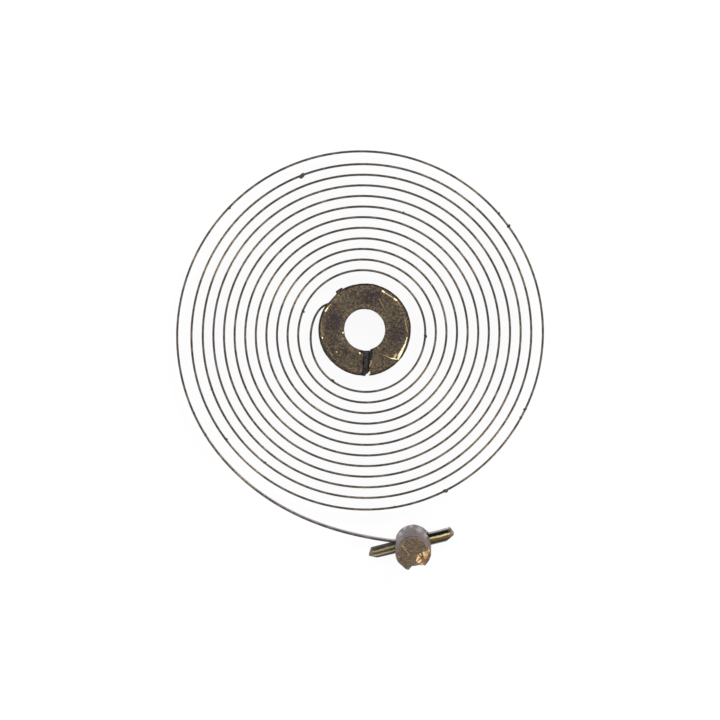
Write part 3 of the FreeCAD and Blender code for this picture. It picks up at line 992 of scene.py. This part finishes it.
def crushCorner(piece, torn):
    # a block with a crumpled face bites the corner off and leaves the torn look behind
    out = leaning(stud["crushBearing"], stud["crushSlope"])
    edge = heading(stud["crushBearing"]) * (stud["radius"] - stud["crushDepth"]) + up * stud["length"]
    size = 3 * stud["radius"]
    jaw = makeBlock(edge + out * size / 2, (size, size, size), out)
    pick(jaw)
    bpy.ops.object.mode_set(mode="EDIT")
    bpy.ops.mesh.select_all(action="SELECT")
    bpy.ops.mesh.subdivide(number_cuts=stud["jawCuts"])
    bpy.ops.object.mode_set(mode="OBJECT")
    for grain, rise in stud["jawUneven"]:
        unsettle(jaw, grain, rise)
    jaw.data.materials.append(torn)
    carve(piece, jaw)
    groove = heading(stud["grooveBearing"] + 90)
    for face in piece.data.polygons:
        if face.material_index == 1 and face.center.dot(groove) < 0:
            face.material_index = 0        # the beak left of the groove isn't bright


def makeStud():
    piece = turnBody(0, stud["radius"], stud["length"], (
        (True, True, stud["topRound"], 6), (True, False, stud["edgeBreak"], 2),
    ), stud["cuts"], stud["segments"])
    for grain, rise in stud["uneven"]:
        unsettle(piece, grain, rise)
    looks = makeStudLook(), makeCrushLook()
    piece.data.materials.append(looks[0])
    cutGroove(piece)
    hole = Matrix.Translation((0, stud["holeOffset"], studHoleHeight))
    carve(piece, makeDrill(studHoleRadius, 4 * stud["radius"], hole))
    rubbed = heading(stud["rubBearing"]) * (stud["radius"] - stud["rubDepth"]) + up * stud["length"]
    planeOff(piece, rubbed, leaning(stud["rubBearing"], stud["rubSlope"]))
    crushCorner(piece, looks[1])
    piece.matrix_world = studFrame
    fixTransform(piece)
    handOver(piece, "stud_post", "stud_brass", "stud", *looks, angle=24)


pinLook = {
    # how far across the wire each colour starts, from its lower side to the flat; the bands are painted
    # reflections and highlights
    "bright": (
        (0.03, paint(132, 134, 126)),
        (0.12, paint(56, 60, 54)),
        (0.22, paint(52, 44, 40)),
        (0.30, paint(112, 90, 72)),
        (0.38, paint(84, 62, 36)),
        (0.44, paint(150, 122, 72)),
        (0.49, paint(218, 209, 158)),
        (0.54, paint(188, 181, 130)),
        (0.59, paint(34, 30, 22)),
        (0.66, paint(16, 12, 14)),
    ),
    "dull": (
        (0.03, paint(116, 114, 116)),
        (0.12, paint(58, 52, 50)),
        (0.22, paint(76, 64, 61)),
        (0.305, paint(172, 154, 138)),
        (0.38, paint(98, 84, 62)),
        (0.45, paint(60, 51, 34)),
        (0.52, paint(108, 102, 68)),
        (0.585, paint(160, 156, 122)),
        (0.65, paint(84, 70, 54)),
        (0.73, paint(50, 40, 44)),
    ),
    # the brighter pin's flat: a painted highlight low down and painted shade from flatShadeFrom up
    "flatBright": paint(178, 168, 170),
    "flatShade": paint(20, 15, 18),
    "flatShadeFrom": 0,            # the flat is dark from here up
    "flatDull": paint(64, 52, 58),
    "snipped": paint(112, 98, 84),
    "tipsFrom": (-0.02, 0.735),    # the wire's middle, and how far from it the bruised tips begin
    "spot": paint(60, 50, 42),
    "rough": (0.42, 0.15),
    "grainDepth": 0.006,
    "metallic": 0.3,
    "shine": 0.06,
}


def makePinLook(name, holeFrame, radius):
    # the wire's drawn lines and its painted reflection bands run along it, so its colour follows the way
    # across
    look, root, place = newLook(name)
    local = placeIn(place, holeFrame)
    drawn = local.stretched((2.2, 26, 26)).grain(1, 4, 0.65)
    wander = local.stretched((4, 7, 7)).grain(1, 3)
    fine = local.grain(22, 4, 0.75)
    across = local.axis("Y") / (2 * radius) + 0.5 + (drawn - 0.5) * 0.12 + (wander - 0.5) * 0.12
    across = across + (fine - 0.5) * 0.10
    bright = root.node("ValToRGB", {"stops": pinLook["bright"]}, {0: across})
    dull = root.node("ValToRGB", {"stops": pinLook["dull"]}, {0: across + (fine - 0.5) * 0.12})
    flat = alongAxis(root, holeFrame.col[1].xyz).band(0.7, 0.95)
    lift = (local.axis("Z") + (fine - 0.5) * 0.08) - pinLook["flatShadeFrom"]
    bright = flat.over(bright, lift.band(0, 0.07).over(pinLook["flatBright"], pinLook["flatShade"]))
    dull = flat.over(dull, pinLook["flatDull"])
    colour = (local.axis("X") + (wander - 0.5) * 0.3).band(-0.2, 0.3).over(dull, bright)
    ends = abs(alongAxis(root, holeFrame.col[0].xyz)).band(0.3, 0.7)
    middle, reach = pinLook["tipsFrom"]
    tips = (abs(local.axis("X") - middle) + (fine - 0.5) * 0.12).band(reach, reach + 0.03) * 0.85
    colour = (ends.most(tips) * fine.band(0.32, 0.56)).over(colour, pinLook["snipped"])
    colour = (fine.band(0.60, 0.74) * 0.5).over(colour, pinLook["spot"])
    # the flat has lost its sheen
    closeLook(root, metal(root, pinLook, colour, fine, drawn * 2 + fine, 1 - flat))
    return look


pinShape = {
    "cuts": 24,
    "edgeRound": 0.026,
    "studTaper": 0.03,
    "studEnds": (-0.865, 0.80),
    # each snipped end: its side, its point and how steeply the snips leave it
    "snips": ((-1, (-0.865, -0.032, 0), (57, -32)), (1, (0.80, -0.04, 0), (68, -30))),
}


def makePin(ends, gauge, taper, flatAt, snips, holeFrame):
    # a tapered wire along X with a flat on the strip's side and its ends snipped
    start, end = ends
    place, radius = gauge       # where along the wire it is measured, and its radius there
    length = end - start
    startFresh()
    bpy.ops.mesh.primitive_cone_add(vertices=64, radius1=radius + (start - place) * taper / 2,
                                    radius2=radius + (end - place) * taper / 2, depth=length)
    pin = bpy.context.object
    pin.matrix_world = Matrix.Translation(((start + end) / 2, 0, 0)) @ Matrix.Rotation(pi / 2, 4, "Y")
    fixTransform(pin)
    pickEdges(pin, lambda one, other: (other - one).length > length / 2)
    bpy.ops.mesh.subdivide(number_cuts=pinShape["cuts"])
    bpy.ops.object.mode_set(mode="OBJECT")
    planeOff(pin, Vector((0, flatAt, 0)), Vector((0, 1, 0)))
    for side, tip, angles in snips:
        for angle in angles:
            across = 1 if angle > 0 else -1
            out = Vector((side * sin(radians(abs(angle))), across * cos(radians(angle)), 0))
            planeOff(pin, Vector(tip), out)
    softenEdges(pin, pinShape["edgeRound"], 3, 40)
    pin.matrix_world = holeFrame
    fixTransform(pin)
    return pin


def makePins():
    widest = colletHoleReach + collet["seat"]
    half = sqrt(collet["radius"] ** 2 - widest ** 2) - collet["pinSetback"]
    flatAt = collet["seat"] - strip["thickness"] - fitGap
    radius = colletHoleRadius - fitGap
    pin = makePin((-half, half), (half, radius), collet["pinTaper"], flatAt, (), colletFrame)
    look = makePinLook("drawnBrassInner", colletFrame, radius)
    handOver(pin, "inner_taper_pin", "pin_brass", "collet_pin", look)

    holeFrame = studFrame @ Matrix.Translation((0, stud["holeOffset"], studHoleHeight))
    flatAt = stud["seat"] - strip["thickness"] - fitGap
    radius = studHoleRadius - fitGap
    pin = makePin(pinShape["studEnds"], (studMouth, radius), pinShape["studTaper"], flatAt,
                  pinShape["snips"], holeFrame)
    look = makePinLook("drawnBrassOuter", holeFrame, radius)
    handOver(pin, "outer_taper_pin", "pin_brass", "stud_pin", look)


# Stage
studio = {
    "worldStrength": 0.85,
    "suns": (      # bearing, height over the floor, strength, apparent size
        (52, 52, 1.1, 22),
        (-32, 34, 0.9, 26),
        (160, 40, 0.5, 26),
    ),
    "floorSize": 0.4,              # metres
    "floorDrop": 0.01,             # a hair under what rests on it
    "floorShade": paint(250, 250, 250),
    "floorGlow": 0.93,
}


def makeStage():
    startFresh()
    bpy.ops.mesh.primitive_grid_add(x_subdivisions=4, y_subdivisions=4, size=studio["floorSize"])
    floor = bpy.context.object
    floor.name = "floor"
    floor.location.z = -studio["floorDrop"] * mm
    look, root = bareLook("paleFloor")
    rays = reduce(Sock.most, (
        root.node("LightPath", {}, {}, kind)
        for kind in ("Is Camera Ray", "Is Glossy Ray", "Is Transmission Ray")))
    lit = root.node("BsdfDiffuse", {}, {"Color": studio["floorShade"]})
    glow = root.node("Emission", {}, {"Color": (1, 1, 1, 1), "Strength": 1})
    both = root.node("MixShader", {}, {0: rays * studio["floorGlow"], 1: lit, 2: glow})
    closeLook(root, both)
    floor.data.materials.append(look)

    world = bpy.data.worlds.new("softStudio")
    bpy.context.scene.world = world
    world.use_nodes = True
    back = world.node_tree.nodes["Background"]
    back.inputs["Color"].default_value = (1, 1, 1, 1)
    back.inputs["Strength"].default_value = studio["worldStrength"]
    for bearing, height, strength, size in studio["suns"]:
        startFresh()
        bpy.ops.object.light_add(type="SUN")
        sun = bpy.context.object
        sun.data.energy = strength
        sun.data.angle = radians(size)
        sun.rotation_euler = (0, radians(90 - height), radians(bearing))
    bpy.context.scene.view_settings.view_transform = "Standard"


camera = {
    "lens": 800,
    "sensor": 36,
    "centre": (-0.0884, -0.577),
    "width": 13.68,
    "level": 0.4,
    "nearest": 0.001,              # metres
}


def makeCamera():
    startFresh()
    bpy.ops.object.camera_add()
    eye = bpy.context.object
    eye.data.lens = camera["lens"]
    eye.data.sensor_width = camera["sensor"]
    eye.data.clip_start = camera["nearest"]
    distance = camera["width"] * camera["lens"] / camera["sensor"]
    eye.location = Vector((*camera["centre"], camera["level"] + distance)) * mm
    bpy.context.scene.camera = eye


makeStrip()
makeDust()
makeCollet()
makeStud()
makePins()
makeStage()
makeCamera()
